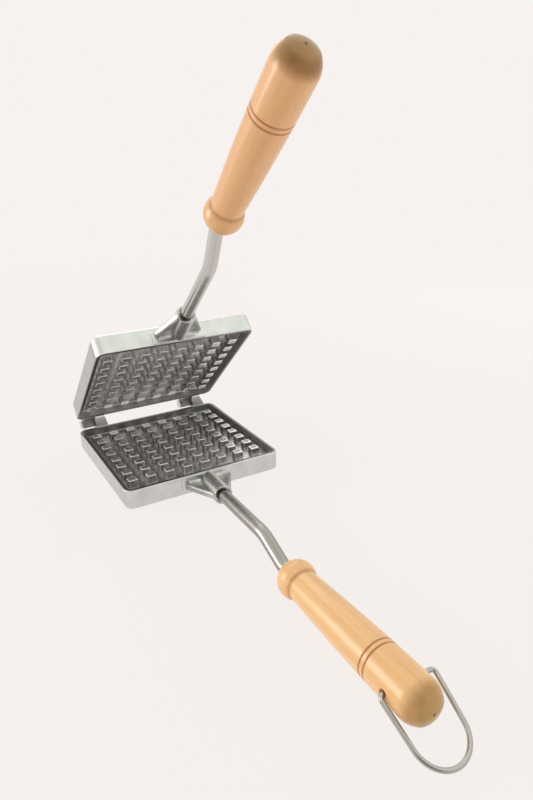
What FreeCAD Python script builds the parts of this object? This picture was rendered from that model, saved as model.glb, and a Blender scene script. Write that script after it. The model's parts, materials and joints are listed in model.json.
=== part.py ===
import FreeCAD, Part
import math
import os

# Hinged hand waffle iron. Two equal cast plates with square studs swing on two hinge pins at the
# back. Each plate has a socket in front, which holds a bent steel rod with a turned wooden handle.
# A wire bail hangs from the lower handle.
#
# The halves are drawn closed, in millimetres: X along the hinge, -Y towards the handles, Z up, with
# the parting plane at Z = 0 and the plates centred on the Z axis. A station is a distance in front
# of the plate's front wall. The upper half is the same half turned over and swung open, and at the
# end the iron is set down on its table, which is Z = 0.

# Cast plates
plate_width = 130.0
plate_depth = 130.0
plate_height = 16.0
parting_gap = 0.3
corner_radius = 6.5
wall = 3.3
tray_depth = 7.0
tray_round = 1.5
edge_round = 2.5
rim_break = 0.4

# Square studs in the trays
stud_columns = 8
stud_rows = 8
side_margin = 5.0
front_margin = 15.4
back_margin = 9.4
stud_top_x = 7.1
stud_top_y = 6.2
stud_drop = 1.6
stud_draft = 4.0
stud_corner = 0.7
stud_top_round = 0.45

# Hinge
hinge_setback = 12.5
hinge_inset = 7.0
knuckle_radius = 4.2
knuckle_width = 10.0
knuckle_gap = 0.4
lug_top = 1.0
lug_bottom = 10.5
hinge_pin_radius = 2.0
hinge_pin_clearance = 0.05
pin_head_radius = 4.0
pin_head_thickness = 1.6
pin_head_gap = 0.15
pin_tail_radius = 2.8
pin_tail_thickness = 0.8

# Handle sockets
socket_length = 27.7
socket_radius = 7.5
socket_relief = 0.3
socket_depth = 23.5
mouth_radius = 6.1
mouth_depth = 3.0
mouth_round = 0.6
web_half_width = 20.0
web_top = 5.4
web_thickness = 5.4
web_round = 1.8
web_fillet = 2.5
web_mouth_setback = 2.0
pad_margin = 1.5
pad_proud = 1.2
pad_round = 0.6
socket_pin_radius = 1.5
socket_pin_station = 14.0
socket_pin_grip = 0.8
socket_pin_clearance = 0.02

# Bent rods
rod_radius = 4.75
rod_clearance = 0.1
rod_end_gap = 0.3
rod_offset = 10.6
first_bend_station = 88.0
first_bend_radius = 28.0
second_bend_station = 113.5
second_bend_radius = 14.0
tang_length = 86.0

# Turned handles
tang_clearance = 0.05
tang_end_gap = 1.0
bead_station = 129.3
bead_core = 1.2
bead_round = 11.6
bead_face_radius = 6.2
grip_start_radius = 10.3
grip_end_station = 236.5
grip_end_radius = 12.9
grip_swell = 0.65
end_face_station = 246.3
end_face_radius = 9.3
handle_tip_station = 249.3
groove_stations = (207.3, 210.8)
groove_width = 1.2
groove_depth = 0.5

# Wire bail on the lower handle
bail_station = 227.0
bail_wire_radius = 1.4
bail_hole_clearance = 0.08
bail_mouth_radius = 2.6
bail_mouth_depth = 3.0
bail_half_width = 18.0
bail_reach = 42.3
bail_arc_radius = 16.2
bail_bend_radius = 2.6
bail_end_length = 13.0
bail_shift = 2.8

# Pose at rest
open_angle = 41.9

# Overlap that joins cast features to the wall behind them
root = 1.0

Vec = FreeCAD.Vector
X_DIR = Vec(1, 0, 0)
Y_DIR = Vec(0, 1, 0)
Z_DIR = Vec(0, 0, 1)

# Places that several pieces share
rim_z = -parting_gap / 2
front_wall_y = -plate_depth / 2
back_wall_y = plate_depth / 2
hinge_y = back_wall_y + hinge_setback
socket_z = rim_z - socket_relief - socket_radius
handle_z = socket_z - rod_offset
tray_floor_z = rim_z - tray_depth
knuckle_step = knuckle_width + knuckle_gap
knuckle_out_x = plate_width / 2 - hinge_inset - knuckle_width
knuckle_in_x = knuckle_out_x - knuckle_step
bead_front_station = bead_station - math.sqrt(bead_round ** 2 - (bead_face_radius - bead_core) ** 2)
crease_station = bead_station + math.sqrt(bead_round ** 2 - (grip_start_radius - bead_core) ** 2)
tang_end_station = bead_front_station + tang_length
hinge_point = Vec(0, hinge_y, 0)


def at_station(station, z, x=0.0):
    """Point at a distance in front of the front wall."""
    return Vec(x, front_wall_y - station, z)


def tangent_point(point, centre, radius, side):
    """Point where a line from a plane point touches a circle, on one side of it."""
    across = point[0] - centre[0]
    up = point[1] - centre[1]
    swing = math.acos(radius / math.hypot(across, up))
    angle = math.atan2(up, across) + side * swing
    return centre[0] + radius * math.cos(angle), centre[1] + radius * math.sin(angle)


def bent_edges(points, radii):
    """Straight runs through points, with a tangent arc of its own radius at each inner point."""
    edges = []
    start = points[0]
    for before, corner, after, radius in zip(points, points[1:], points[2:], radii):
        back = (before - corner).normalize()
        ahead = (after - corner).normalize()
        half_angle = back.getAngle(ahead) / 2
        setback = radius / math.tan(half_angle)
        middle = (back + ahead).normalize() * (radius / math.sin(half_angle) - radius)
        arc_start = corner + back * setback
        arc_end = corner + ahead * setback
        edges.append(Part.LineSegment(start, arc_start).toShape())
        edges.append(Part.Arc(arc_start, corner + middle, arc_end).toShape())
        start = arc_end
    edges.append(Part.LineSegment(start, points[-1]).toShape())
    return edges


def round_bar(edges, radius):
    """Round bar of one radius along a path of edges."""
    path = Part.Wire(edges)
    first = edges[0]
    start = first.valueAt(first.FirstParameter)
    direction = first.tangentAt(first.FirstParameter)
    section = Part.Wire(Part.Circle(start, direction, radius).toShape())
    return path.makePipeShell([section], True, False)


def upright_edges(shape):
    """Edges that run along Z."""
    found = []
    for edge in shape.Edges:
        ends = edge.Vertexes[-1].Point - edge.Vertexes[0].Point
        if math.hypot(ends.x, ends.y) < 1e-6:
            found.append(edge)
    return found


def level_edges(shape, z):
    """Edges that lie in the plane at one height."""
    box_of = [(edge, edge.BoundBox) for edge in shape.Edges]
    return [edge for edge, box in box_of if abs(box.ZMin - z) < 1e-4 and abs(box.ZMax - z) < 1e-4]


def rounded_slab(width, depth, radius, low, high):
    """Slab centred on the Z axis with rounded upright corners."""
    slab = Part.makeBox(width, depth, high - low, Vec(-width / 2, -depth / 2, low))
    return slab.makeFillet(radius, upright_edges(slab))


def tray():
    """Shallow cast tray: rounded corners, a flat floor and an upright wall with a broken rim edge."""
    body = rounded_slab(plate_width, plate_depth, corner_radius, -plate_height, rim_z)
    body = body.makeFillet(edge_round, level_edges(body, -plate_height))
    inside_width = plate_width - 2 * wall
    inside_depth = plate_depth - 2 * wall
    hollow = rounded_slab(inside_width, inside_depth, corner_radius - wall, tray_floor_z, rim_z + root)
    hollow = hollow.makeFillet(tray_round, level_edges(hollow, tray_floor_z))
    body = body.cut(hollow)
    return body.makeChamfer(rim_break, level_edges(body, rim_z))


def stud():
    """One tapered stud with its base sunk into the floor, centred on the Z axis."""
    low = tray_floor_z - root
    high = rim_z - stud_drop
    spread = (high - low) * math.tan(math.radians(stud_draft))

    def outline(grow, z):
        half_x = stud_top_x / 2 + grow
        half_y = stud_top_y / 2 + grow
        corners = [Vec(-half_x, -half_y, z), Vec(half_x, -half_y, z),
                   Vec(half_x, half_y, z), Vec(-half_x, half_y, z)]
        return Part.makePolygon(corners + corners[:1])

    block = Part.makeLoft([outline(spread, low), outline(0.0, high)], True, True)
    sloping = [edge for edge in block.Edges if edge.BoundBox.ZLength > root]
    block = block.makeFillet(stud_corner, sloping)
    return block.makeFillet(stud_top_round, level_edges(block, high))


def stud_field():
    """All the studs of a tray, spread evenly between its margins."""
    left_x = -plate_width / 2 + wall + side_margin + stud_top_x / 2
    front_y = front_wall_y + wall + front_margin + stud_top_y / 2
    back_y = back_wall_y - wall - back_margin - stud_top_y / 2
    column_step = -2 * left_x / (stud_columns - 1)
    row_step = (back_y - front_y) / (stud_rows - 1)
    master = stud()
    studs = []
    for column in range(stud_columns):
        for row in range(stud_rows):
            x = left_x + column * column_step
            y = front_y + row * row_step
            copy = master.copy()
            copy.translate(Vec(x, y, 0))
            studs.append(copy)
    return studs


def knuckle(low_x):
    """Hinge barrel with the lug that ties it to the back wall."""
    centre = (hinge_y, 0.0)
    top = (back_wall_y, rim_z - lug_top)
    bottom = (back_wall_y, -lug_bottom)
    top_touch = tangent_point(top, centre, knuckle_radius, -1)
    bottom_touch = tangent_point(bottom, centre, knuckle_radius, 1)
    outline = [(back_wall_y - root, top[1]), top, top_touch, centre, bottom_touch, bottom,
               (back_wall_y - root, bottom[1])]
    corners = [Vec(low_x, y, z) for y, z in outline]
    lug = Part.Face(Part.makePolygon(corners + corners[:1])).extrude(X_DIR * knuckle_width)
    barrel = Part.makeCylinder(knuckle_radius, knuckle_width, Vec(low_x, hinge_y, 0), X_DIR)
    return barrel.fuse(lug)


def socket():
    """Round boss with a web at each side and a pad where they join the front wall."""
    boss_start = at_station(-root, socket_z)
    boss = Part.makeCylinder(socket_radius, socket_length + root, boss_start, -Y_DIR)
    mouth_y = front_wall_y - socket_length
    rim = [edge for edge in boss.Edges if abs(edge.BoundBox.YMin - mouth_y) < 1e-4
           and edge.BoundBox.YLength < 1e-4]
    boss = boss.makeFillet(mouth_round, rim)
    web_low = rim_z - web_top - web_thickness
    tip_station = socket_length - web_mouth_setback
    corners = [at_station(-root, web_low, -web_half_width), at_station(0, web_low, -web_half_width),
               at_station(tip_station, web_low, -socket_radius),
               at_station(tip_station, web_low, socket_radius),
               at_station(0, web_low, web_half_width), at_station(-root, web_low, web_half_width)]
    web = Part.Face(Part.makePolygon(corners + corners[:1])).extrude(Z_DIR * web_thickness)
    slanted = [edge for edge in web.Edges if edge.BoundBox.XLength > root and edge.BoundBox.YLength > root]
    web = web.makeFillet(web_round, slanted)
    pad_half = web_half_width + pad_margin
    pad_high = rim_z - socket_relief
    pad = Part.makeBox(2 * pad_half, pad_proud + root, pad_high - web_low,
                       Vec(-pad_half, front_wall_y - pad_proud, web_low))
    outer = [edge for edge in pad.Edges if edge.BoundBox.YMax < front_wall_y]
    pad = pad.makeFillet(pad_round, outer)
    return [boss, web, pad, web_root()]


def web_root():
    """Hollow fillet between the pad and the top of the webs."""
    toe_station = pad_proud + web_fillet
    slant = (web_half_width - socket_radius) / (socket_length - web_mouth_setback)
    half = web_half_width - slant * toe_station - web_round
    floor_z = rim_z - web_top
    block = Part.makeBox(2 * half, web_fillet + root, web_fillet + root,
                         at_station(toe_station, floor_z - root, -half))
    hollow = Part.makeCylinder(web_fillet, 2 * half, at_station(toe_station, floor_z + web_fillet, -half), X_DIR)
    return block.cut(hollow)


def socket_bore():
    """Space for the rod in the socket, wider at the mouth."""
    mouth = at_station(socket_length + root, socket_z)
    bore = Part.makeCylinder(rod_radius + rod_clearance, socket_depth + root, mouth, Y_DIR)
    return bore.fuse(Part.makeCylinder(mouth_radius, mouth_depth + root, mouth, Y_DIR))


def socket_pin(clearance=0.0):
    """Plain pin that crosses the socket and the rod, driven in from the outer side."""
    low = at_station(socket_pin_station, socket_z - socket_radius - (root if clearance else 0.0))
    high_z = socket_z + rod_radius + socket_pin_grip
    return Part.makeCylinder(socket_pin_radius + clearance, high_z - low.z, low, Z_DIR)


def casting():
    """One plate: tray, studs, socket, and one knuckle of each hinge."""
    body = tray()
    features = stud_field() + socket()
    features.append(knuckle(-knuckle_in_x - knuckle_width))
    features.append(knuckle(knuckle_out_x))
    body = body.fuse(features)
    pin_bore = Part.makeCylinder(hinge_pin_radius + hinge_pin_clearance, plate_width,
                                 Vec(-plate_width / 2, hinge_y, 0), X_DIR)
    return body.cut([socket_bore(), pin_bore, socket_pin(socket_pin_clearance)])


def rod():
    """Round rod: straight out of the socket, bent away from the parting plane and straight again."""
    inner_station = socket_length - socket_depth + rod_end_gap
    points = [at_station(inner_station, socket_z), at_station(first_bend_station, socket_z),
              at_station(second_bend_station, handle_z), at_station(tang_end_station, handle_z)]
    bar = round_bar(bent_edges(points, [first_bend_radius, second_bend_radius]), rod_radius)
    return bar.cut(socket_pin(socket_pin_clearance))


def grip_radius(station):
    """Radius of the grip, a taper that swells a little in its middle."""
    share = (station - crease_station) / (grip_end_station - crease_station)
    taper = grip_start_radius + share * (grip_end_radius - grip_start_radius)
    return taper + 4 * grip_swell * share * (1 - share)


def handle():
    """Turned handle: bead, tapering grip with two grooves, round shoulder and a crowned end."""

    def spot(station, radius):
        return at_station(station, handle_z + radius)

    def swelling(start, end):
        ends_and_middle = [spot(at, grip_radius(at)) for at in (start, (start + end) / 2, end)]
        return Part.Arc(*ends_and_middle).toShape()

    grip = []
    run_start = crease_station
    for station in groove_stations:
        near = station - groove_width / 2
        far = station + groove_width / 2
        floor = spot(station, grip_radius(station) - groove_depth)
        grip.append(swelling(run_start, near))
        grip.append(Part.LineSegment(spot(near, grip_radius(near)), floor).toShape())
        grip.append(Part.LineSegment(floor, spot(far, grip_radius(far))).toShape())
        run_start = far
    grip.append(swelling(run_start, grip_end_station))

    grip_length = grip_end_station - crease_station
    end_slope = (grip_end_radius - grip_start_radius - 4 * grip_swell) / grip_length
    inward = Vec(end_slope, -1, 0).normalize()
    chord = Vec(end_face_station - grip_end_station, end_face_radius - grip_end_radius, 0)
    shoulder_round = chord.dot(chord) / (2 * chord.dot(inward))
    shoulder_centre = Vec(grip_end_station, grip_end_radius, 0) + inward * shoulder_round
    outward = (chord / 2 - inward * shoulder_round).normalize()
    shoulder_middle = shoulder_centre + outward * shoulder_round
    crown = handle_tip_station - end_face_station
    crown_round = (end_face_radius ** 2 + crown ** 2) / (2 * crown)
    crown_half = end_face_radius / 2
    crown_station = handle_tip_station - crown_round + math.sqrt(crown_round ** 2 - crown_half ** 2)

    front = spot(bead_front_station, bead_face_radius)
    axis_front = spot(bead_front_station, 0)
    tip = spot(handle_tip_station, 0)
    edges = [Part.LineSegment(axis_front, front).toShape(),
             Part.Arc(front, spot(bead_station, bead_core + bead_round),
                      spot(crease_station, grip_start_radius)).toShape()]
    edges += grip
    edges.append(Part.Arc(spot(grip_end_station, grip_end_radius), spot(shoulder_middle.x, shoulder_middle.y),
                          spot(end_face_station, end_face_radius)).toShape())
    edges.append(Part.Arc(spot(end_face_station, end_face_radius),
                          spot(crown_station, crown_half), tip).toShape())
    edges.append(Part.LineSegment(tip, axis_front).toShape())
    body = Part.Face(Part.Wire(edges)).revolve(axis_front, Y_DIR, 360)
    bore_length = tang_length + tang_end_gap + root
    bore_start = at_station(bead_front_station - root, handle_z)
    return body.cut(Part.makeCylinder(rod_radius + tang_clearance, bore_length, bore_start, -Y_DIR))


def bail_hole():
    """Cross hole in which the bail turns, wider at both mouths."""
    half_length = grip_end_radius + root
    start = at_station(bail_station, handle_z, -half_length)
    hole = Part.makeCylinder(bail_wire_radius + bail_hole_clearance, 2 * half_length, start, X_DIR)
    mouth_x = grip_radius(bail_station) - bail_mouth_depth
    mouths = []
    for side in (-1, 1):
        inner = at_station(bail_station, handle_z, side * mouth_x)
        mouths.append(Part.makeCylinder(bail_mouth_radius, half_length - mouth_x, inner, X_DIR * side))
    return hole.fuse(mouths)


def bail(slope):
    """Wire loop with inturned ends, sloping down from its cross hole by an angle in radians."""

    def spot(x, along):
        return at_station(bail_station + along * math.cos(slope), handle_z - along * math.sin(slope),
                          x + bail_shift)

    arc_centre = (0.0, bail_reach - bail_arc_radius)
    leg = tangent_point((bail_half_width, 0.0), arc_centre, bail_arc_radius, 1)
    inner_x = bail_half_width - bail_end_length
    left = [spot(-inner_x, 0), spot(-bail_half_width, 0), spot(-leg[0], leg[1])]
    right = [spot(leg[0], leg[1]), spot(bail_half_width, 0), spot(inner_x, 0)]
    edges = bent_edges(left, [bail_bend_radius])
    edges.append(Part.Arc(left[-1], spot(0, bail_reach), right[0]).toShape())
    edges += bent_edges(right, [bail_bend_radius])
    return round_bar(edges, bail_wire_radius)


def hinge_pin(low_x):
    """Headed pin through a pair of knuckles that starts at low_x, with its tail spread over."""
    start = Vec(low_x - pin_head_gap, hinge_y, 0)
    end = Vec(low_x + knuckle_step + knuckle_width, hinge_y, 0)
    shank = Part.makeCylinder(hinge_pin_radius, end.x - start.x + pin_tail_thickness, start, X_DIR)
    head = Part.makeCylinder(pin_head_radius, pin_head_thickness, start - X_DIR * pin_head_thickness, X_DIR)
    tail = Part.makeCylinder(pin_tail_radius, pin_tail_thickness, end, X_DIR)
    return shank.fuse([head, tail]).removeSplitter()


def rest_tilt():
    """Angle by which the iron leans back, on the lower plate's back edge and the lower bead."""
    edge = Vec(0, back_wall_y - edge_round, edge_round - plate_height)
    bead = at_station(bead_station, handle_z - bead_core)
    along = edge.y - bead.y
    up = edge.z - bead.z
    lean = math.acos((edge_round - bead_round) / math.hypot(along, up))
    return lean - math.atan2(along, up)


def table_drop(tilt):
    """Distance from the closed frame's origin down to the table."""
    edge_y = back_wall_y - edge_round
    edge_z = edge_round - plate_height
    return edge_round + edge_y * math.sin(tilt) - edge_z * math.cos(tilt)


def bail_slope(tilt):
    """Slope of the bail below the handle's axis when its loop lies on the table."""
    pivot = at_station(bail_station, handle_z)
    height = table_drop(tilt) - pivot.y * math.sin(tilt) + pivot.z * math.cos(tilt)
    return math.asin((height - bail_wire_radius) / bail_reach) + tilt


def swing_open(shape):
    """Turn a half over about Y and open it about the hinge."""
    turned = shape.copy()
    turned.rotate(Vec(0, 0, 0), Y_DIR, 180)
    turned.rotate(hinge_point, -X_DIR, open_angle)
    return turned


tilt = rest_tilt()
plate = casting()
bar = rod()
grip = handle()
cross_pin = socket_pin()
slope = bail_slope(tilt)
shapes = {
    "lower_plate": plate,
    "upper_plate": swing_open(plate),
    "lower_rod": bar,
    "upper_rod": swing_open(bar),
    "lower_handle": grip.cut(bail_hole()),
    "upper_handle": swing_open(grip),
    "lower_socket_pin": cross_pin,
    "upper_socket_pin": swing_open(cross_pin),
    "left_hinge_pin": hinge_pin(-knuckle_out_x - knuckle_width),
    "right_hinge_pin": hinge_pin(knuckle_in_x),
    "hanging_bail": bail(slope),
}

# Set the iron down on the table. Its footprint runs from the bail's loop to the back of the knuckles,
# and the middle of that is the origin.
turn = FreeCAD.Rotation(X_DIR, -math.degrees(tilt))
bail_axis = at_station(bail_station, handle_z)
loop_end = bail_reach * math.cos(slope - tilt) + bail_wire_radius
front_y = turn.multVec(bail_axis).y - loop_end
back_y = turn.multVec(hinge_point).y + knuckle_radius
set_down = Vec(0, -(front_y + back_y) / 2, table_drop(tilt))
os.makedirs("parts", exist_ok=True)
for name, shape in shapes.items():
    shape.rotate(Vec(0, 0, 0), X_DIR, -math.degrees(tilt))
    shape.translate(set_down)
    shape.exportStep(os.path.join("parts", name + ".step"))
    print(name, "solids", len(shape.Solids), "valid", shape.isValid())

# Places that the joints and mounts need
places = {
    "hinge axis": hinge_point,
    "bail axis": bail_axis,
    "lower plate underside": Vec(0, 0, -plate_height),
}
for name, point in places.items():
    place = turn.multVec(point) + set_down
    print(name, round(place.x, 3), round(place.y, 3), round(place.z, 3))
print("tilt", round(math.degrees(tilt), 4), "bail slope", round(math.degrees(slope), 4))
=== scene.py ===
import json
import math

import bpy
import numpy as np
from mathutils import Matrix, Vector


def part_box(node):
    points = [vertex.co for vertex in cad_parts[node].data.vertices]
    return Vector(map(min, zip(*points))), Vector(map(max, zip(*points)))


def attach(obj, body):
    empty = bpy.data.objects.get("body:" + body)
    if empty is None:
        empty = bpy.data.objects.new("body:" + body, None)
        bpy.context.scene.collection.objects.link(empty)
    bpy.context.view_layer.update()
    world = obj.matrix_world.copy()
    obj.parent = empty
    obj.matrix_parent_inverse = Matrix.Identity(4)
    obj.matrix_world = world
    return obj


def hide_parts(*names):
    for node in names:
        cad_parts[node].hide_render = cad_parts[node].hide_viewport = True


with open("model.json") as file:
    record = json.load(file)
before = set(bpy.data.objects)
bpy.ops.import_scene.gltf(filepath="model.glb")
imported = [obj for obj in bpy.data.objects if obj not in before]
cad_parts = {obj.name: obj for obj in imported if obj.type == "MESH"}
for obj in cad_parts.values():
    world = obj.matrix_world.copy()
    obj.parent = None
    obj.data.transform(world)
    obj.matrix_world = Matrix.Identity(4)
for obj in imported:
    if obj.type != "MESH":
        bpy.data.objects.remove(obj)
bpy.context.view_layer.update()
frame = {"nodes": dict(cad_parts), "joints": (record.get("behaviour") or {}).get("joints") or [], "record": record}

# Sizes of the iron in metres. A station is a distance in front of the plates' front wall, and an
# outward distance counts from the parting plane.
plate_half = 0.065
corner_radius = 0.0065
wall = 0.0033
tray_depth = 0.007
rim_gap = 0.00015
hinge_to_wall = 0.1425
studs_in_row = 8
stud_first_x = -0.05315
stud_first_y = 0.0283
stud_pitch_y = 0.0132
stud_half_x = 0.00355
stud_half_y = 0.0031
stud_drop = 0.0016

socket_out = 0.00795
handle_out = 0.01855
rod_radius = 0.00475
rod_inner_station = 0.0045
first_bend_station = 0.0880
first_bend_radius = 0.0280
second_bend_station = 0.1135
second_bend_radius = 0.0140
tang_length = 0.086

bead_station = 0.1293
bead_core = 0.0012
bead_round = 0.0116
bead_face_radius = 0.0062
rod_hole_clearance = 0.00005
rod_hole_depth = 0.004
rod_hole_bevel_depth = 0.0004
rod_hole_bevel_width = 0.0003
grip_start_radius = 0.0103
grip_end_station = 0.2365
grip_end_radius = 0.0129
grip_swell = 0.00065
end_face_station = 0.2463
end_face_radius = 0.0093
handle_tip_station = 0.2493
groove_stations = (0.2073, 0.2108)
groove_half = 0.0006
groove_depth = 0.0005
centre_mark_radius = 0.0009
centre_mark_depth = 0.0006

bail_station = 0.2270
bail_wire_radius = 0.0014
bail_half_width = 0.0180
bail_reach = 0.0423
bail_arc_radius = 0.0162
bail_bend_radius = 0.0026
bail_end_length = 0.0130
bail_shift = 0.0028
bail_mouth_radius = 0.0026
bail_mouth_depth = 0.0030

# Sizes that follow from these
plate_middle = hinge_to_wall - plate_half
back_wall = hinge_to_wall - 2 * plate_half
stud_pitch_x = -2 * stud_first_x / (studs_in_row - 1)
rod_hole_radius = rod_radius + rod_hole_clearance
bead_front_station = bead_station - math.sqrt(bead_round ** 2 - (bead_face_radius - bead_core) ** 2)
crease_station = bead_station + math.sqrt(bead_round ** 2 - (grip_start_radius - bead_core) ** 2)
grip_length = grip_end_station - crease_station

# Places and directions that the frame gives
face_axis = {mount["name"]: np.array(mount["axis"]) for mount in frame["record"]["mounts"]}
joint_place = {joint["name"]: np.array(joint["pos_m"]) for joint in frame["joints"]}
hinge_place = joint_place["hinge"]
bail_place = joint_place["bail_swing"]


def unit(vector):
    """Vector of the same direction and length one."""
    return vector / np.linalg.norm(vector)


def half_axes(face, side):
    """Axes of one half as rows: along the hinge, towards the handle, and outwards from the parting plane.
    The outward one is the axis of the half's stove face, and the front one is square to the other two."""
    outward = unit(face_axis[face])
    along = np.array([side, 0.0, 0.0])
    return np.stack([along, np.cross(outward, along), outward])


lower_axes = half_axes("lower_stove_face", 1.0)
upper_axes = half_axes("upper_stove_face", -1.0)


def in_half(axes, across, station, outward):
    """Points of one half: the hinge point plus each coordinate times its axis."""
    local = np.stack(np.broadcast_arrays(across, station + hinge_to_wall, outward), axis=-1)
    return hinge_place + local @ axes


# Meshes

def add_object(name, data):
    """New object of the scene, at the origin."""
    made = bpy.data.objects.new(name, data)
    bpy.context.scene.collection.objects.link(made)
    return made


def skin(name, places, inner, attribute):
    """Closed skin over a grid of points: four-sided faces between rows and round each row, and a fan of
    triangles over the first and the last row. The inner coordinates go with the points as an attribute."""
    rows, columns = places.shape[:2]
    index = np.arange(rows * columns).reshape(rows, columns)
    beside = np.roll(index, -1, axis=1)
    quads = np.stack([index[:-1], index[1:], beside[1:], beside[:-1]], axis=-1).reshape(-1, 4)
    first = np.full(columns, rows * columns)
    fans = [np.stack([first, index[0], beside[0]], axis=-1),
            np.stack([first + 1, beside[-1], index[-1]], axis=-1)]

    def with_ends(grid):
        """The grid's points, and the middle of its first and its last row."""
        ends = np.stack([grid[0].mean(axis=0), grid[-1].mean(axis=0)])
        return np.concatenate([grid.reshape(-1, 3), ends])

    mesh = bpy.data.meshes.new(name)
    faces = quads.tolist() + np.concatenate(fans).tolist()
    mesh.from_pydata(with_ends(places).tolist(), [], faces)
    mesh.polygons.foreach_set("use_smooth", np.ones(len(faces), dtype=bool))
    mesh.set_sharp_from_angle(angle=math.radians(50))
    layer = mesh.attributes.new(attribute, "FLOAT_VECTOR", "POINT")
    layer.data.foreach_set("vector", with_ends(inner).astype(np.float32).ravel())
    return add_object(name, mesh)


def spaced(start, end, step):
    """Even spacing from start to end, no wider than a step."""
    return np.linspace(start, end, max(2, int(math.ceil(abs(end - start) / step)) + 1))


def bent_path(corners, radii, step, turn_step):
    """Points and directions along straight runs joined by tangent arcs. An arc begins its radius over the
    tangent of half the corner's angle before the corner, and its point at a turn t is the centre plus the
    starting arm times cos t plus the running direction times the radius and sin t."""
    points = []
    headings = []
    start = corners[0]
    for before, corner, after, radius in zip(corners, corners[1:], corners[2:], radii):
        back = unit(before - corner)
        ahead = unit(after - corner)
        half_angle = math.acos(float(back @ ahead)) / 2
        setback = radius / math.tan(half_angle)
        arc_start = corner + back * setback
        centre = corner + unit(back + ahead) * radius / math.sin(half_angle)
        share = spaced(0.0, 1.0, step / np.linalg.norm(arc_start - start))[:-1, None]
        points.append(start + (arc_start - start) * share)
        headings.append(np.broadcast_to(-back, points[-1].shape))
        turn = spaced(0.0, math.pi - 2 * half_angle, turn_step)[:-1, None]
        arm = arc_start - centre
        points.append(centre + arm * np.cos(turn) - back * radius * np.sin(turn))
        headings.append(-arm / radius * np.sin(turn) - back * np.cos(turn))
        start = corner + ahead * setback
    end = corners[-1]
    share = spaced(0.0, 1.0, step / np.linalg.norm(end - start))[:, None]
    points.append(start + (end - start) * share)
    headings.append(np.broadcast_to(unit(end - start), points[-1].shape))
    return np.concatenate(points), np.concatenate(headings)


def bar(name, path, headings, across, radius, sides):
    """Round bar along a flat path: each ring is the path's point plus the radius times the cosine of an
    angle along the direction square to the path's plane and its sine along the in-plane normal."""
    angle = np.linspace(0.0, 2 * math.pi, sides, endpoint=False)[None, :, None]
    in_plane = np.cross(across, headings)[:, None, :]
    places = path[:, None, :] + radius * (np.cos(angle) * across + np.sin(angle) * in_plane)
    length = np.concatenate([[0.0], np.cumsum(np.linalg.norm(np.diff(path, axis=0), axis=1))])
    ring = np.stack(np.broadcast_arrays(radius * np.cos(angle[..., 0]), radius * np.sin(angle[..., 0]),
                                        length[:, None]), axis=-1)
    return skin(name, places, ring, "drawn")


# Rods, handles and bail

def rod(name, axes):
    """Bent rod: straight out of the socket, away from the parting plane and straight into the handle."""
    tang_station = bead_front_station + tang_length
    stations = np.array([rod_inner_station, first_bend_station, second_bend_station, tang_station])
    outward = np.array([socket_out, socket_out, handle_out, handle_out])
    corners = in_half(axes, 0.0, stations, outward)
    radii = [first_bend_radius, second_bend_radius]
    path, headings = bent_path(corners, radii, step=0.004, turn_step=math.radians(2))
    return bar(name, path, headings, axes[0], rod_radius, sides=64)


def bead_outline():
    """Bevelled mouth of the rod's hole, and the bead, which is a circle about a ring inside it."""
    mouth = np.array([[bead_front_station + rod_hole_depth, rod_hole_radius],
                      [bead_front_station + rod_hole_bevel_depth, rod_hole_radius],
                      [bead_front_station, rod_hole_radius + rod_hole_bevel_width]])
    start = math.atan2(bead_face_radius - bead_core, bead_front_station - bead_station)
    end = math.atan2(grip_start_radius - bead_core, crease_station - bead_station)
    turn = np.linspace(start, end, 60)
    stations = bead_station + bead_round * np.cos(turn)
    radii = bead_core + bead_round * np.sin(turn)
    return np.concatenate([mouth, np.stack([stations, radii], axis=-1)])


def grip_outline():
    """Taper with a parabola's swell, less two grooves of one cosine wave each. The stations lie closer at the
    grooves and at the bail's hole."""
    grooves_start = groove_stations[0] - 0.0018
    grooves_end = groove_stations[1] + 0.0018
    hole_start = bail_station - 2 * bail_mouth_radius
    hole_end = bail_station + 2 * bail_mouth_radius
    stations = np.concatenate([
        spaced(crease_station + 0.0002, groove_stations[0] - 0.002, 0.0025),
        spaced(grooves_start, grooves_end, 0.00012),
        spaced(groove_stations[1] + 0.002, hole_start, 0.0015),
        spaced(hole_start, hole_end, 0.0002)[1:],
        spaced(hole_end, grip_end_station, 0.001)[1:-1]])
    share = (stations - crease_station) / grip_length
    taper = share * (grip_end_radius - grip_start_radius)
    radii = grip_start_radius + taper + 4 * grip_swell * share * (1 - share)
    for groove in groove_stations:
        reach = np.clip(np.abs(stations - groove) / groove_half, 0.0, 1.0)
        radii = radii - groove_depth * (0.5 + 0.5 * np.cos(math.pi * reach))
    return np.stack([stations, radii], axis=-1)


def shoulder_outline():
    """Arc that leaves the grip along its last slope and ends at the end face. Its radius is the square of the
    chord over twice the chord's part along the inward normal."""
    end_slope = (grip_end_radius - grip_start_radius - 4 * grip_swell) / grip_length
    inward = unit(np.array([end_slope, -1.0]))
    heading = np.array([-inward[1], inward[0]])
    grip_end = np.array([grip_end_station, grip_end_radius])
    chord = np.array([end_face_station, end_face_radius]) - grip_end
    radius = chord @ chord / (2 * chord @ inward)
    centre = grip_end + inward * radius
    arm = grip_end - centre
    sweep = math.acos(float(arm @ (arm + chord)) / radius ** 2)
    turn = np.linspace(0.0, sweep, 40)[:, None]
    return centre + arm * np.cos(turn) + heading * radius * np.sin(turn)


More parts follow.
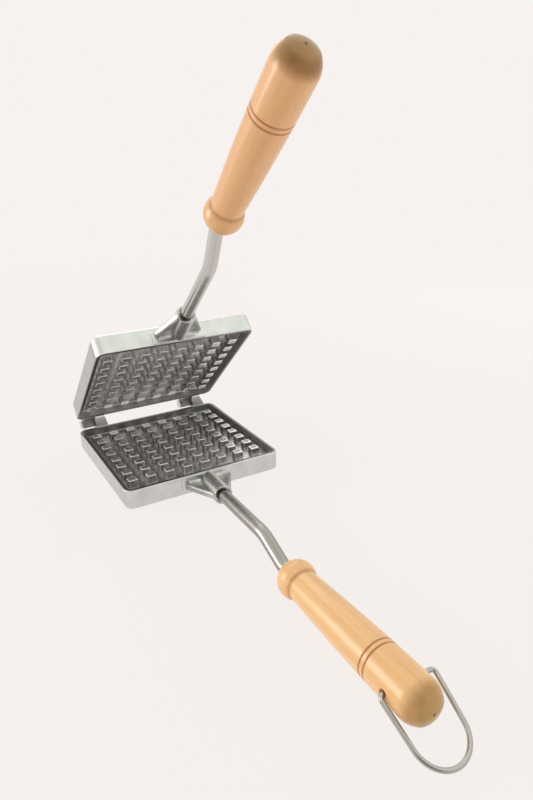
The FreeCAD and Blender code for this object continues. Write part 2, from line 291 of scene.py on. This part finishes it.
def end_outline():
    """Shallow round crown with the conical pit of the lathe centre, from the end face to the axis."""
    crown = handle_tip_station - end_face_station
    crown_round = (end_face_radius ** 2 + crown ** 2) / (2 * crown)
    radii = np.concatenate([np.linspace(end_face_radius - 0.0003, 0.0015, 24),
                            np.linspace(0.0014, 0.0001, 12)])
    pit = centre_mark_depth * np.clip(1.0 - radii / centre_mark_radius, 0.0, 1.0)
    stations = handle_tip_station - crown_round + np.sqrt(crown_round ** 2 - radii ** 2) - pit
    return np.stack([stations, radii], axis=-1)


def handle(name, axes, holed):
    """Turned handle: the outline carried round the handle's axis, with its points closer at the two sides.
    Where the bail goes in, the skin is pushed in along the hinge direction by a depth that falls off
    smoothly at the hole's edge."""
    crowding = 0.3
    edge = 0.12
    profile = np.concatenate([bead_outline(), grip_outline(), shoulder_outline(), end_outline()])
    even = np.linspace(0.0, 2 * math.pi, 256, endpoint=False)
    angle = (even - crowding * np.sin(2 * even))[None, :]
    station = np.broadcast_to(profile[:, :1], (len(profile), angle.size))
    across = profile[:, 1:] * np.cos(angle)
    up = profile[:, 1:] * np.sin(angle)
    inner = np.stack([across, up, station], axis=-1)
    if holed:
        distance = np.hypot(station - bail_station, up) / bail_mouth_radius
        inside = np.clip((1.0 + edge / 2 - distance) / edge, 0.0, 1.0)
        across = across - np.sign(across) * bail_mouth_depth * inside * inside * (3 - 2 * inside)
    return skin(name, in_half(axes, across, station, handle_out + up), inner, "turned")


def bail(name):
    """Wire loop with inturned ends: two straight legs tangent to a round end. A leg touches the round end at
    the angle of the leg's foot seen from the end's centre, plus the arc cosine of radius over distance. The
    round end is two arcs, whose corner lies where the leg's line meets the line across the tip, and a slack
    keeps the arcs from running into each other."""
    arc_slack = 1e-6
    sideways = np.array([1.0, 0.0, 0.0])
    pivot = np.array([0.0, bail_place[1], bail_place[2]])
    wire_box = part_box("hanging_bail")
    low_end = np.array([0.0, wire_box[0].y + bail_wire_radius, bail_wire_radius])
    along = unit(low_end - pivot)

    def spot(across, reach):
        """Point of the loop's plane."""
        return pivot + sideways * (across + bail_shift) + along * reach

    middle = bail_reach - bail_arc_radius
    foot_angle = math.atan2(-middle, bail_half_width)
    touch = foot_angle + math.acos(bail_arc_radius / math.hypot(bail_half_width, middle))
    corner_distance = bail_arc_radius / math.cos((math.pi / 2 - touch) / 2)
    corner_angle = (math.pi / 2 + touch) / 2
    corner_across = corner_distance * math.cos(corner_angle)
    corner_reach = middle + corner_distance * math.sin(corner_angle)
    end_across = bail_half_width - bail_end_length
    corners = [spot(-end_across, 0.0), spot(-bail_half_width, 0.0), spot(-corner_across, corner_reach),
               spot(corner_across, corner_reach), spot(bail_half_width, 0.0), spot(end_across, 0.0)]
    arc_radius = bail_arc_radius - arc_slack
    radii = [bail_bend_radius, arc_radius, arc_radius, bail_bend_radius]
    path, headings = bent_path(corners, radii, step=0.002, turn_step=math.radians(4))
    return bar(name, path, headings, np.cross(sideways, along), bail_wire_radius, sides=32)


# Materials

def colour(red, green, blue):
    """Colour with full opacity."""
    return (red, green, blue, 1.0)


def tinted(tone, red, green, blue):
    """Colour with a share of each part of another one."""
    return colour(red * tone[0], green * tone[1], blue * tone[2])


class Finish:
    """Node tree of a material or the world, with short calls that add and join its nodes."""

    def __init__(self, owner):
        owner.use_nodes = True
        self.owner = owner
        self.tree = owner.node_tree

    def give(self, socket, value):
        """Link a socket to another one, or set its value."""
        if isinstance(value, bpy.types.NodeSocket):
            self.tree.links.new(value, socket)
        else:
            socket.default_value = value

    def node(self, kind, sockets, **options):
        """Add a node with its own options, and give its inputs values or links."""
        made = self.tree.nodes.new("ShaderNode" + kind)
        for key, value in options.items():
            setattr(made, key, value)
        for key, value in sockets.items():
            self.give(made.inputs[key], value)
        return made

    def calc(self, operation, first, second=0.0):
        """Result of one step of arithmetic."""
        return self.node("Math", {0: first, 1: second}, operation=operation).outputs[0]

    def plus(self, first, second):
        """Sum of two values."""
        return self.calc("ADD", first, second)

    def minus(self, first, second):
        """First value less the second."""
        return self.calc("SUBTRACT", first, second)

    def times(self, first, second):
        """Product of two values."""
        return self.calc("MULTIPLY", first, second)

    def larger(self, first, second):
        """Larger of two values."""
        return self.calc("MAXIMUM", first, second)

    def smaller(self, first, second):
        """Smaller of two values."""
        return self.calc("MINIMUM", first, second)

    def apart(self, first, second):
        """Difference of two values without its sign."""
        return self.calc("ABSOLUTE", self.minus(first, second))

    def distance(self, first, second):
        """Root of the sum of two squares."""
        return self.calc("SQRT", self.plus(self.calc("POWER", first, 2.0), self.calc("POWER", second, 2.0)))

    def between(self, value, low, high, from_value=0.0, to_value=1.0):
        """Smooth step of a value from one level to another."""
        sockets = {"Value": value, "From Min": low, "From Max": high,
                   "To Min": from_value, "To Max": to_value}
        return self.node("MapRange", sockets, interpolation_type="SMOOTHSTEP").outputs[0]

    def mix(self, share, first, second):
        """Mixture of two colours."""
        return self.node("Mix", {0: share, 6: first, 7: second}, data_type="RGBA").outputs[2]

    def darker(self, share, tone):
        """Colour with a share of it taken away."""
        return self.mix(share, tone, colour(0.0, 0.0, 0.0))

    def object_place(self):
        """Place in the object's own coordinates."""
        return self.node("TexCoord", {}).outputs["Object"]

    def attribute(self, name):
        """Coordinates that a mesh carries under a name."""
        return self.node("Attribute", {}, attribute_name=name).outputs["Vector"]

    def placed(self, vector, scale=(1, 1, 1), turn=(0, 0, 0), shift=(0, 0, 0)):
        """Vector turned, scaled and shifted."""
        sockets = {"Vector": vector, "Scale": scale, "Rotation": turn, "Location": shift}
        return self.node("Mapping", sockets).outputs[0]

    def noise(self, vector, scale=1.0, detail=3.0, roughness=0.5):
        """Noise from 0 to 1."""
        sockets = {"Vector": vector, "Scale": scale, "Detail": detail, "Roughness": roughness}
        return self.node("TexNoise", sockets).outputs[0]

    def parts(self, vector):
        """The three coordinates of a vector."""
        return self.node("SeparateXYZ", {0: vector}).outputs

    def along(self, vector, direction):
        """Part of a vector along a direction."""
        return self.node("VectorMath", {0: vector, 1: direction}, operation="DOT_PRODUCT").outputs["Value"]

    def bump(self, height, strength, distance):
        """Normal bent by a height."""
        sockets = {"Height": height, "Strength": strength, "Distance": distance}
        return self.node("Bump", sockets).outputs[0]

    def surface(self, **sockets):
        """Set the inputs of the material's main shader."""
        shader = self.tree.nodes["Principled BSDF"]
        for key, value in sockets.items():
            self.give(shader.inputs[key.replace("_", " ")], value)


def wood_grain(wood, place, pith, light, deep):
    """Tone and height of the grain: rings about a pith outside the handle, streaks and broad bands along it,
    and fine pores."""
    ring_rate = 1500.0
    ring_wander = 9.0
    across, up = wood.parts(place)[:2]
    wander = wood.noise(wood.placed(place, scale=(60, 60, 14)), detail=2.0)
    streaks = wood.noise(wood.placed(place, scale=(330, 330, 8), shift=pith), detail=4.0, roughness=0.6)
    bands = wood.noise(wood.placed(place, scale=(150, 150, 5), shift=pith), detail=2.0)
    pores = wood.noise(wood.placed(place, scale=(3200, 3200, 90)), detail=2.0)
    from_pith = wood.distance(wood.minus(across, pith[0]), wood.minus(up, pith[1]))
    phase = wood.plus(wood.times(from_pith, ring_rate), wood.times(wander, ring_wander))
    rings = wood.plus(wood.times(wood.calc("SINE", phase), 0.5), 0.5)
    grain = wood.plus(wood.times(rings, 0.12), wood.times(streaks, 0.8))
    tone = wood.mix(wood.between(grain, 0.15, 0.85), light, deep)
    tone = wood.mix(wood.between(pores, 0.62, 0.74, 0.0, 0.22), tone, colour(0.58, 0.31, 0.12))
    tone = wood.mix(wood.between(bands, 0.45, 0.65, 0.0, 0.30), tone, colour(0.60, 0.35, 0.12))
    height = wood.plus(wood.times(streaks, 0.4), wood.times(pores, -0.3))
    return tone, height, streaks


def turned_wood(name, pith, light, deep, end_grain_and_shade_share):
    """Pale lacquered hardwood with darker end grain on the shoulder and the crown, painted shade that darkens the
    shoulder more on its underside, a dark pit of the lathe centre, burnt grooves and painted shade in the crease
    behind the bead."""
    wood = Finish(bpy.data.materials.new(name))
    place = wood.attribute("turned")
    tone, height, streaks = wood_grain(wood, place, pith, light, deep)
    across, up, station = wood.parts(place)
    from_axis = wood.distance(across, up)

    upward = wood.calc("DIVIDE", up, wood.larger(from_axis, 0.001))
    # Painted shade: the shoulder darkens by half its share all round for end grain, and by up to the full share on
    # the underside.
    end_grain_and_underside_shade = wood.between(upward, 1.0, -0.2, 0.5 * end_grain_and_shade_share, end_grain_and_shade_share)
    on_shoulder = wood.between(station, grip_end_station, end_face_station - 0.0018)
    tone = wood.mix(wood.times(on_shoulder, end_grain_and_underside_shade), tone, tinted(deep, 0.34, 0.27, 0.05))
    on_end = wood.between(station, end_face_station - 0.0023, end_face_station - 0.0001)
    crown = wood.times(on_end, wood.between(from_axis, end_face_radius + 0.0005, end_face_radius - 0.0031))
    end_grain = wood.noise(wood.placed(place, scale=(900, 900, 900)))
    crown_tone = wood.mix(end_grain, tinted(deep, 0.58, 0.60, 0.38), tinted(deep, 0.44, 0.44, 0.22))
    tone = wood.mix(wood.times(crown, 0.85), tone, crown_tone)
    pit = wood.between(from_axis, centre_mark_radius + 0.0008, centre_mark_radius - 0.0005, 0.0, 0.85)
    tone = wood.mix(wood.times(crown, pit), tone, colour(0.11, 0.085, 0.055))

    for groove in groove_stations:
        burnt = wood.between(wood.apart(station, groove), 0.0011, 0.0004, 0.0, 0.66)
        tone = wood.mix(burnt, tone, colour(0.43, 0.135, 0.04))
    # Painted shadow of the bead on the grip, in the crease behind it.
    crease_shadow = wood.between(wood.apart(station, crease_station), 0.0024, 0.0002, 0.0, 0.50)
    tone = wood.mix(crease_shadow, tone, colour(0.34, 0.15, 0.05))

    wood.surface(Base_Color=tone, Roughness=wood.between(streaks, 0.3, 0.7, 0.36, 0.46),
                 Normal=wood.bump(height, 0.10, 0.0006), Coat_Weight=0.5, Coat_Roughness=0.20)
    return wood.owner


def drawn_steel(name, tone, roughness):
    """Drawn bar: streaks along its length that change its brightness, gloss and height a little."""
    steel = Finish(bpy.data.materials.new(name))
    place = steel.attribute("drawn")
    streaks = steel.noise(steel.placed(place, scale=(700, 700, 9)), roughness=0.55)
    clouds = steel.noise(steel.placed(place, scale=(140, 140, 60)))
    shade = steel.plus(steel.times(streaks, 0.6), steel.times(clouds, 0.4))
    drawn_tone = steel.mix(steel.between(shade, 0.3, 0.65), tinted(tone, 0.92, 0.92, 0.92), tone)
    steel.surface(Base_Color=drawn_tone, Metallic=1.0,
                  Roughness=steel.between(shade, 0.3, 0.7, roughness + 0.05, roughness - 0.04),
                  Normal=steel.bump(streaks, 0.015, 0.0003))
    return steel.owner


def pin_steel(name):
    """Plain turned pin: fine marks and a slightly blue tone."""
    steel = Finish(bpy.data.materials.new(name))
    marks = steel.noise(steel.placed(steel.object_place(), scale=(700, 2400, 2400)))
    tone = steel.mix(marks, colour(0.50, 0.54, 0.54), colour(0.72, 0.76, 0.76))
    steel.surface(Base_Color=tone, Metallic=1.0, Roughness=steel.between(marks, 0.3, 0.7, 0.38, 0.28),
                  Normal=steel.bump(marks, 0.08, 0.0002))
    return steel.owner


def plate_place(cast, axes):
    """Place in a plate's own axes, counted from the hinge: across, to the front and outwards."""
    turn = Matrix([list(row) for row in axes]).to_euler("XYZ")
    shift = -(axes @ hinge_place)
    return cast.placed(cast.object_place(), turn=tuple(turn), shift=tuple(shift))


def rim_depth(cast, side, end):
    """Distance inwards from the plate's outline, a square with round corners: the corner radius less the
    distance past the square through the corners' centres."""
    straight = plate_half - corner_radius
    past_side = cast.larger(cast.minus(side, straight), 0.0)
    past_end = cast.larger(cast.minus(end, straight), 0.0)
    return cast.minus(corner_radius, cast.distance(past_side, past_end))


def past_stud(cast, value, first, pitch, half):
    """Distance along one axis past the edge of the nearest stud's top, negative inside it."""
    cell = cast.plus(cast.calc("DIVIDE", cast.minus(value, first), pitch), 0.5)
    off_centre = cast.apart(cast.calc("FRACT", cell), 0.5)
    return cast.minus(cast.times(off_centre, pitch), half)


def stud_edge_highlights(cast, across, front, outward):
    """Mask of painted highlight: one along the edges of the stud tops, and less down their upright corners."""
    upright_share = 0.45
    stud_top = rim_gap + stud_drop
    past_x = past_stud(cast, across, stud_first_x, stud_pitch_x, stud_half_x)
    past_y = past_stud(cast, front, stud_first_y, stud_pitch_y, stud_half_y)
    past_both = cast.smaller(past_x, past_y)
    past_any = cast.larger(past_x, past_y)
    near_top = cast.between(outward, stud_top + 0.0009, stud_top + 0.0003)
    top_edge = cast.times(cast.between(past_any, -0.0012, -0.0007), near_top)
    on_stud = cast.between(past_any, 0.0008, 0.0004, 0.0, upright_share)
    upright_edge = cast.times(cast.between(past_both, -0.0008, -0.0003), on_stud)
    return cast.larger(top_edge, upright_edge)


def cast_aluminium(name, axes, painted_side_wall_shade, knuckle, floor, stud, stud_pit, inner_wall, wall_pit):
    """Cast plate: smooth outer walls, a pitted tray with its floor, studs and inner walls, and the duller skin of
    the mould on the knuckles and the socket. Painted shade darkens the side walls, parts of the tray, the knuckles
    and the socket's sides, the rim tops carry a painted dark reflection, and painted highlights run along the stud
    edges.
    Each zone is found by its place in the plate's own axes."""
    cast = Finish(bpy.data.materials.new(name))
    place = plate_place(cast, axes)
    across, front, outward = cast.parts(place)
    to_right = cast.times(across, float(axes[0][0]))
    side = cast.calc("ABSOLUTE", across)
    end = cast.apart(front, plate_middle)
    depth = rim_depth(cast, side, end)
    floor_level = rim_gap + tray_depth

    # Zones of the plate
    rim_width = cast.between(front, 0.045, 0.015, 0.0, 0.0009)
    inside_rim = cast.between(cast.plus(depth, rim_width), 0.0006, 0.0011)
    on_tray = cast.times(inside_rim, cast.between(outward, floor_level + 0.0008, floor_level + 0.0002))
    on_inner_wall = cast.times(cast.between(depth, wall + 0.0010, wall + 0.0004), on_tray)
    on_floor = cast.times(cast.between(outward, floor_level - 0.0020, floor_level - 0.0006), on_tray)
    on_rim_top = cast.between(outward, rim_gap + 0.0006, rim_gap + 0.0002)
    on_mould_skin = cast.between(end, plate_half + 0.0012, plate_half + 0.0018)
    on_knuckles = cast.between(front, back_wall + 0.0002, back_wall - 0.0006)
    edge_highlight = cast.times(stud_edge_highlights(cast, across, front, outward), cast.minus(on_tray, on_inner_wall))

    # Patterns of the metal
    grit = cast.noise(place, 2600.0, detail=4.0, roughness=0.6)
    specks = cast.noise(place, 1150.0, detail=2.0)
    clouds = cast.noise(place, 90.0, detail=4.0, roughness=0.55)
    rubbed = cast.noise(cast.placed(place, scale=(60, 60, 1500)))
    pitted = cast.between(specks, 0.36, 0.62)

    # Tones of the outside, the studs, the floor, the inner walls and the mould's skin
    cloudy = cast.between(clouds, 0.3, 0.7)
    outer_tone = cast.mix(cloudy, colour(0.615, 0.61, 0.605), colour(0.69, 0.685, 0.68))
    # Painted shade: the outer tone is darkened on the side walls.
    side_shade_amount = cast.between(side, plate_half - 0.0012, plate_half - 0.0002, 0.0, painted_side_wall_shade)
    outer_tone = cast.darker(side_shade_amount, outer_tone)
    # Painted shade: the tray's tone darkens towards the right side, and towards the side where across grows.
    tray_side_shade = cast.larger(cast.between(across, 0.010, 0.055, 0.0, 0.28),
                         cast.between(to_right, 0.012, 0.050, 0.0, 0.46))
    tray_tone = cast.darker(tray_side_shade, cast.mix(pitted, stud, stud_pit))
    floor_tone = cast.darker(cast.between(specks, 0.40, 0.60, 0.0, 0.42), floor)
    # Painted shade: the floor darkens towards the hinge and one side, away from its brightest corner.
    to_bright_corner = cast.plus(across, cast.times(front, 0.6))
    floor_tone = cast.darker(cast.between(to_bright_corner, 0.0, 0.13, 0.36, 0.0), floor_tone)
    tray_tone = cast.mix(on_floor, tray_tone, floor_tone)
    # Painted reflection: the rim tops get a dark tone for the dark tray that they mirror.
    wall_tone = cast.mix(on_rim_top, cast.mix(pitted, inner_wall, wall_pit), colour(0.17, 0.165, 0.165))
    tray_tone = cast.mix(on_inner_wall, tray_tone, wall_tone)
    # Painted highlight: near-white metal along the stud edges, for the light that their small rounds catch.
    tray_tone = cast.mix(edge_highlight, tray_tone, colour(0.96, 0.95, 0.94))
    mould_tone = cast.mix(cast.between(grit, 0.3, 0.7), colour(0.62, 0.61, 0.595), colour(0.48, 0.47, 0.46))
    # Painted shade: the mould's skin darkens away from the socket's middle, over the webs.
    mould_tone = cast.darker(cast.between(side, 0.0085, 0.0125, 0.0, 0.28), mould_tone)
    # Painted shade: the knuckles get a dark tone for their dark reflection.
    mould_tone = cast.mix(on_knuckles, mould_tone, knuckle)
    tone = cast.mix(on_mould_skin, cast.mix(on_tray, outer_tone, tray_tone), mould_tone)

    # Gloss and grain
    duller = cast.minus(cast.plus(on_tray, on_inner_wall), on_mould_skin)
    roughness = cast.plus(cast.between(rubbed, 0.3, 0.7, 0.27, 0.34), cast.times(duller, 0.04))
    grit_height = cast.times(grit, cast.between(on_tray, 0.0, 1.0, 0.25, 0.7))
    height = cast.plus(grit_height, cast.times(clouds, 0.5))
    cast.surface(Base_Color=tone, Metallic=1.0, Roughness=roughness, Normal=cast.bump(height, 0.15, 0.0003))
    return cast.owner


# Dress the iron

# Both handles are the same wood. The lower handle's lighter tones are painted light for the stronger light from
# above on it, and the upper handle's larger share gives its shoulder more painted shade.
wood_look = {
    "lower": {"pith": (0.021, -0.017, 0.0), "light": colour(0.93, 0.57, 0.26),
              "deep": colour(0.87, 0.50, 0.20), "end_grain_and_shade_share": 0.66},
    "upper": {"pith": (-0.017, 0.026, 0.05), "light": colour(0.79, 0.445, 0.21),
              "deep": colour(0.72, 0.385, 0.16), "end_grain_and_shade_share": 0.90}}
# Both rods are the same steel. The lower rod's darker tone is painted shade.
rod_look = {
    "lower": {"tone": colour(0.36, 0.345, 0.325), "roughness": 0.28},
    "upper": {"tone": colour(0.60, 0.585, 0.565), "roughness": 0.24}}
# Both plates are the same cast metal. The upper plate's much lighter floor, stud and inner-wall tones are painted
# light. In each tray the lighter floor is painted reflection and the darker inner walls are painted shade.
plate_look = {
    "lower": {"painted_side_wall_shade": 0.12, "knuckle": colour(0.26, 0.255, 0.25),
              "floor": colour(0.756, 0.744, 0.726),
              "stud": colour(0.71, 0.69, 0.685), "stud_pit": colour(0.42, 0.405, 0.405),
              "inner_wall": colour(0.512, 0.499, 0.496), "wall_pit": colour(0.371, 0.362, 0.358)},
    "upper": {"painted_side_wall_shade": 0.30, "knuckle": colour(0.18, 0.175, 0.17),
              "floor": colour(1.0, 0.982, 0.976),
              "stud": colour(0.98, 0.96, 0.955), "stud_pit": colour(0.68, 0.66, 0.66),
              "inner_wall": colour(0.80, 0.78, 0.775), "wall_pit": colour(0.58, 0.565, 0.56)}}


def dress(piece, node, body, material):
    """Let a modelled piece stand for a solid, on its body, with its finish."""
    piece.data.materials.append(material)
    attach(piece, body)
    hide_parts(node)


def finish_solid(node, material):
    """Give a solid that stays its finish."""
    materials = frame["nodes"][node].data.materials
    materials.clear()
    materials.append(material)


for half, body, axes in (("lower", "lower_half", lower_axes), ("upper", "upper_half", upper_axes)):
    rod_finish = drawn_steel(half + "_rod_steel", **rod_look[half])
    dress(rod(half + "_bent_rod", axes), half + "_rod", body, rod_finish)
    wood_finish = turned_wood(half + "_handle_wood", **wood_look[half])
    turned_handle = handle(half + "_turned_handle", axes, holed=half == "lower")
    dress(turned_handle, half + "_handle", body, wood_finish)
    finish_solid(half + "_plate", cast_aluminium(half + "_plate_cast", axes, **plate_look[half]))
wire_finish = drawn_steel("wire_steel", colour(0.47, 0.455, 0.435), 0.30)
dress(bail("wire_bail"), "hanging_bail", "bail", wire_finish)
pin_finish = pin_steel("pin_steel")
for node in ("left_hinge_pin", "right_hinge_pin", "lower_socket_pin", "upper_socket_pin"):
    finish_solid(node, pin_finish)


# Studio

pale = colour(0.930, 0.888, 0.863)


def ray_kinds(finish):
    """One for rays from the camera, and one for rays off a gloss or through glass."""
    path = finish.node("LightPath", {}).outputs
    mirrored = finish.larger(path["Is Glossy Ray"], path["Is Transmission Ray"])
    return path["Is Camera Ray"], mirrored


def pale_floor():
    """Wide pale floor. Where it is shown directly it keeps a share of its own light and shade near the iron
    and fades to the backdrop's colour further away."""
    size = 8.0
    shade_share = 0.09
    corners = [(-size, -size, 0.0), (size, -size, 0.0), (size, size, 0.0), (-size, size, 0.0)]
    mesh = bpy.data.meshes.new("floor")
    mesh.from_pydata(corners, [], [(0, 1, 2, 3)])
    floor = add_object("floor", mesh)
    finish = Finish(bpy.data.materials.new("floor_paper"))
    away = finish.node("VectorMath", {0: finish.object_place()}, operation="LENGTH").outputs["Value"]
    far = finish.between(away, 0.45, 1.1)
    lit = finish.node("BsdfDiffuse", {"Color": colour(0.90, 0.87, 0.85)}).outputs[0]
    glow = finish.node("Emission", {"Color": pale, "Strength": 1.0}).outputs[0]
    shown_directly = finish.larger(*ray_kinds(finish))
    share = finish.times(finish.between(far, 0.0, 1.0, 1.0 - shade_share, 1.0), shown_directly)
    blend = finish.node("MixShader", {0: share, 1: lit, 2: glow}).outputs[0]
    output = finish.tree.nodes["Material Output"]
    finish.give(output.inputs["Surface"], blend)
    mesh.materials.append(finish.owner)


def studio_world():
    """Pale backdrop all round for the camera. Glossy surfaces mirror it at the horizon, with a cooler bright
    ceiling and a dim room in front, and matt ones get a plain soft light that is stronger from the left."""
    room_direction = (-0.45, -0.80, 0.40)
    light_direction = (-0.82, -0.40, 0.40)
    world = bpy.data.worlds.new("studio")
    bpy.context.scene.world = world
    finish = Finish(world)
    direction = finish.node("TexCoord", {}).outputs["Generated"]
    height = finish.parts(direction)[2]
    reflected = finish.mix(finish.between(height, 0.20, 0.60), pale, colour(1.15, 1.19, 1.09))
    in_room = finish.between(finish.along(direction, room_direction), 0.70, 0.92)
    reflected = finish.mix(in_room, reflected, colour(0.20, 0.205, 0.20))
    to_light = finish.between(finish.along(direction, light_direction), -0.7, 0.9)
    ambient = finish.mix(to_light, colour(0.26, 0.25, 0.235), colour(0.87, 0.84, 0.81))
    to_camera, mirrored = ray_kinds(finish)
    tone = finish.mix(to_camera, finish.mix(mirrored, ambient, reflected), pale)
    background = finish.tree.nodes["Background"]
    finish.give(background.inputs["Color"], tone)
    background.inputs["Strength"].default_value = 1.0


def looking(place, heading, roll):
    """Matrix of a camera or lamp that looks along a heading, turned by a roll about it."""
    back = -unit(heading)
    right = unit(np.cross(np.array([0.0, 0.0, 1.0]), back))
    up = np.cross(back, right)
    turned_right = right * math.cos(roll) + up * math.sin(roll)
    turned_up = up * math.cos(roll) - right * math.sin(roll)
    rows = np.stack([turned_right, turned_up, back, place], axis=1)
    return Matrix([list(row) for row in rows] + [[0.0, 0.0, 0.0, 1.0]])


def soft_box(name, place, width, height, watts, tone, mirrored=True):
    """Rectangular soft light that looks at the iron. A lamp made with mirrored false isn't mirrored in glossy
    surfaces.
    """
    iron_middle = np.array([0.0, 0.0, 0.08])
    data = bpy.data.lights.new(name, "AREA")
    data.shape = "RECTANGLE"
    data.size = width
    data.size_y = height
    data.energy = watts
    data.color = tone
    lamp = add_object(name, data)
    lamp.visible_glossy = mirrored
    lamp.matrix_world = looking(np.array(place), iron_middle - np.array(place), 0.0)


def photo_camera():
    """Camera at the photograph's place: its heading from an azimuth and an elevation, and the focal length in
    pixels of the photograph turned into millimetres on the long side of the sensor."""
    azimuth = math.radians(-30.405)
    elevation = math.radians(24.4286)
    roll = math.radians(0.7767)
    place = np.array([-0.179434, -0.334551, 0.280503])
    photo_height = 800
    focal_pixels = 644.65
    heading = np.array([-math.sin(azimuth) * math.cos(elevation), math.cos(azimuth) * math.cos(elevation),
                        -math.sin(elevation)])
    data = bpy.data.cameras.new("photo_camera")
    data.sensor_width = 36.0
    data.lens = focal_pixels / photo_height * data.sensor_width
    data.clip_start = 0.01
    camera = add_object("photo_camera", data)
    camera.matrix_world = looking(place, heading, roll)
    bpy.context.scene.camera = camera


pale_floor()
studio_world()
soft_box("left_window", (-1.02, 0.60, 0.28), 0.55, 0.55, 5.8, (1.0, 0.95, 0.92))
soft_box("right_fill", (0.95, 0.45, 0.32), 0.4, 0.5, 3.5, (1.0, 0.96, 0.93), mirrored=False)
soft_box("front_fill", (0.75, -0.70, 0.14), 0.5, 0.4, 3.0, (1.0, 0.96, 0.93), mirrored=False)
soft_box("back_fill", (0.2, 1.1, 0.9), 0.8, 0.5, 2.0, (1.0, 0.98, 0.96))
photo_camera()
bpy.context.scene.view_settings.view_transform = "Standard"
